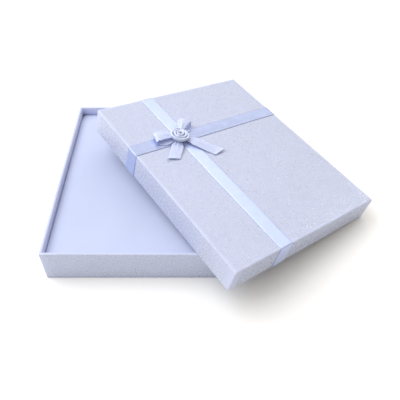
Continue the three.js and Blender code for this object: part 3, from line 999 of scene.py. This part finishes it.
def rose_leaf(height, lean):
    """(outward, up) across the ribbon folded in two: up the inner leaf, over the soft fold and
    down the outer leaf."""
    rise = height - ROSE_EDGE
    shares = [i / LEAF_STEPS for i in range(LEAF_STEPS + 1)]
    inner = [(lean * u * u, rise * u) for u in shares]
    fold = arc((lean + ROSE_EDGE, rise), ROSE_EDGE, 155, 5, 6)
    outer = []
    for u in shares[-2:0:-1]:
        apart = ROSE_FOOT + (2 * ROSE_EDGE - ROSE_FOOT) * math.sin(0.5 * math.pi * u)
        outer.append((apart + lean * u * u, rise * u))
    return inner + fold + outer


def rose(material):
    """A ribbon folded lengthwise and coiled on edge, highest in the middle; its outer turns lean
    out as soft overlapping petals."""
    low, high = extent(["bow_rose"], LID_SPACE)
    radius = (high.x - low.x) / 2
    outer_radius = radius - ROSE_LEAN - 2 * ROSE_EDGE - ROSE_CLEARANCE
    full_height = high.z - low.z - ROSE_CLEARANCE
    middle = Vector(((low.x + high.x) / 2, (low.y + high.y) / 2, low.z))
    steps = round(ROSE_TURNS * ROSE_STEPS)
    grid = []
    for step in range(steps + 1):
        share = step / steps
        angle = share * ROSE_TURNS * 2 * math.pi
        petal = abs(math.sin(math.pi * math.degrees(angle) / PETAL_ANGLE))
        spread = smoothstep(share * 1.1)
        end = 1 - 0.45 * smoothstep((share - 0.92) / 0.08)
        outward = Vector((math.cos(angle), math.sin(angle), 0))
        ruffle = noise.noise((outward + UP * (4 * share)) * 2.4)
        height = full_height * (1 - 0.24 * spread) * (1 - 0.16 * spread * (1 - petal)) * end
        height *= 0.94 + 0.12 * ruffle
        lean = ROSE_LEAN * spread * (0.3 + 0.7 * petal) * end + 0.15 * MM
        base = ROSE_CORE + (outer_radius - ROSE_CORE) * share
        base += (0.2 * ruffle - 0.25 * (1 - petal)) * spread * MM
        leaf = rose_leaf(height, lean)
        grid.append([middle + outward * (base + out) + UP * up for out, up in leaf])
    ribbon_piece("bow_rose_ribbon", grid, material, "bow_rose")


GLUE_FACETS = 28


def glue_blob(node, material):
    """A flattened drop of set glue."""
    low, high = extent([node], LID_SPACE)
    radius = (high.x - low.x) / 2
    height = high.z - low.z
    middle = (low + high) / 2
    vertices = []
    profile = arc((0, 0), 1, -80, 80, 8)
    for out, up in profile:
        for i in range(GLUE_FACETS):
            angle = 2 * math.pi * i / GLUE_FACETS
            outward = Vector((math.cos(angle), math.sin(angle), 0))
            uneven = 1 + 0.08 * noise.noise((outward + UP * up) * 1.7)
            reach = radius * (0.45 + 0.45 * out) * uneven
            point = middle + outward * reach + UP * (up * height * 0.48)
            vertices.append(LID_SPACE @ point)
    last = (len(profile) - 1) * GLUE_FACETS
    faces = [tuple(range(GLUE_FACETS)), tuple(last + i for i in range(GLUE_FACETS))]
    for ring in range(len(profile) - 1):
        for i in range(GLUE_FACETS):
            a = ring * GLUE_FACETS + i
            b = ring * GLUE_FACETS + (i + 1) % GLUE_FACETS
            faces.append((a, b, b + GLUE_FACETS, a + GLUE_FACETS))
    add_object(node + "_blob", vertices, faces, material, "lid", node)


# ---------------------------------------------------------------- the whole object

def keep_cad_nodes(finishes):
    """CAD nodes whose shape is right stay, with materials of their own."""
    for row in frame["record"]["subparts"]:
        shape = frame["nodes"][row["node"]].data
        shape.materials.clear()
        shape.materials.append(finishes[row["material_slot"]])


def build():
    """Every visible piece of the tray, the pad and the lid."""
    paper = cover_paper()
    pile = velour()
    ribbon = satin(
        "satin", srgb(184, 196, 234), srgb(203, 213, 246), metallic=0.72, see_through=0,
    )
    # the bow's satin: the same ribbon painted lighter than the bands, standing for light in its loops'
    # folds and under them; its subsurface glow is the shader's
    bow_ribbon_painted_lighter = satin(
        "satin_bow_painted_lighter", srgb(198, 209, 249), srgb(213, 223, 255), metallic=0.15, see_through=0.3,
    )
    # the rose's satin: painted lighter still, standing for light in the grooves between its turns
    rose_ribbon = satin(
        "satin_rose_painted_lighter", srgb(213, 223, 255), srgb(226, 234, 255), metallic=0.05, see_through=0.4,
    )
    foam = pulp("foam", srgb(232, 231, 225), srgb(246, 245, 240), 1200)
    glue = pulp("glue", srgb(228, 222, 200), srgb(240, 236, 220), 300)
    keep_cad_nodes({
        "cover_paper": paper,
        "velour": pile,
        "satin": ribbon,
        "foam": foam,
        "glue": glue,
        "lining_paper": pulp("lining_paper", srgb(194, 200, 226), srgb(206, 211, 235), 1800),
        "greyboard": pulp("greyboard", srgb(138, 135, 128), srgb(168, 165, 156), 900),
        "stay_tape": pulp("stay_tape", srgb(208, 202, 188), srgb(226, 221, 208), 1400),
    })
    tray_wrap(paper)
    lid_wrap(paper)
    pad_cover(pile)
    pad_foam(foam)
    crossing = (LONG_LOW.x + LONG_HIGH.x) / 2
    band(
        "ribbon_band_lengthwise", "ribbon_lengthwise", LONG_LOW, LONG_HIGH, ribbon,
        lengthwise=True,
    )
    band(
        "ribbon_band_crosswise", "ribbon_crosswise", CROSS_LOW, CROSS_HIGH, ribbon,
        lengthwise=False, crossing=crossing,
    )
    bow_tail("bow_tail_front", bow_ribbon_painted_lighter, hump=2.4 * MM, curl=0.3 * MM, roll=8, slant=-0.5)
    bow_tail("bow_tail_left", bow_ribbon_painted_lighter, hump=1.8 * MM, curl=0.2 * MM, roll=-6, slant=0.45)
    bow_loop(
        "bow_loop_back", bow_ribbon_painted_lighter, height_share=0.7, crown=1.5 * MM,
        roll=6, splay=16, lower_height=1.4 * MM,
    )
    bow_loop(
        "bow_loop_left", bow_ribbon_painted_lighter, height_share=0.6, crown=0.8 * MM,
        roll=-8, splay=-16, lower_height=1.3 * MM,
    )
    rose(rose_ribbon)
    glue_blob("bow_glue_dot", glue)
    glue_blob("rose_glue_dot", glue)


make_camera()
make_studio()
make_floor()
build()
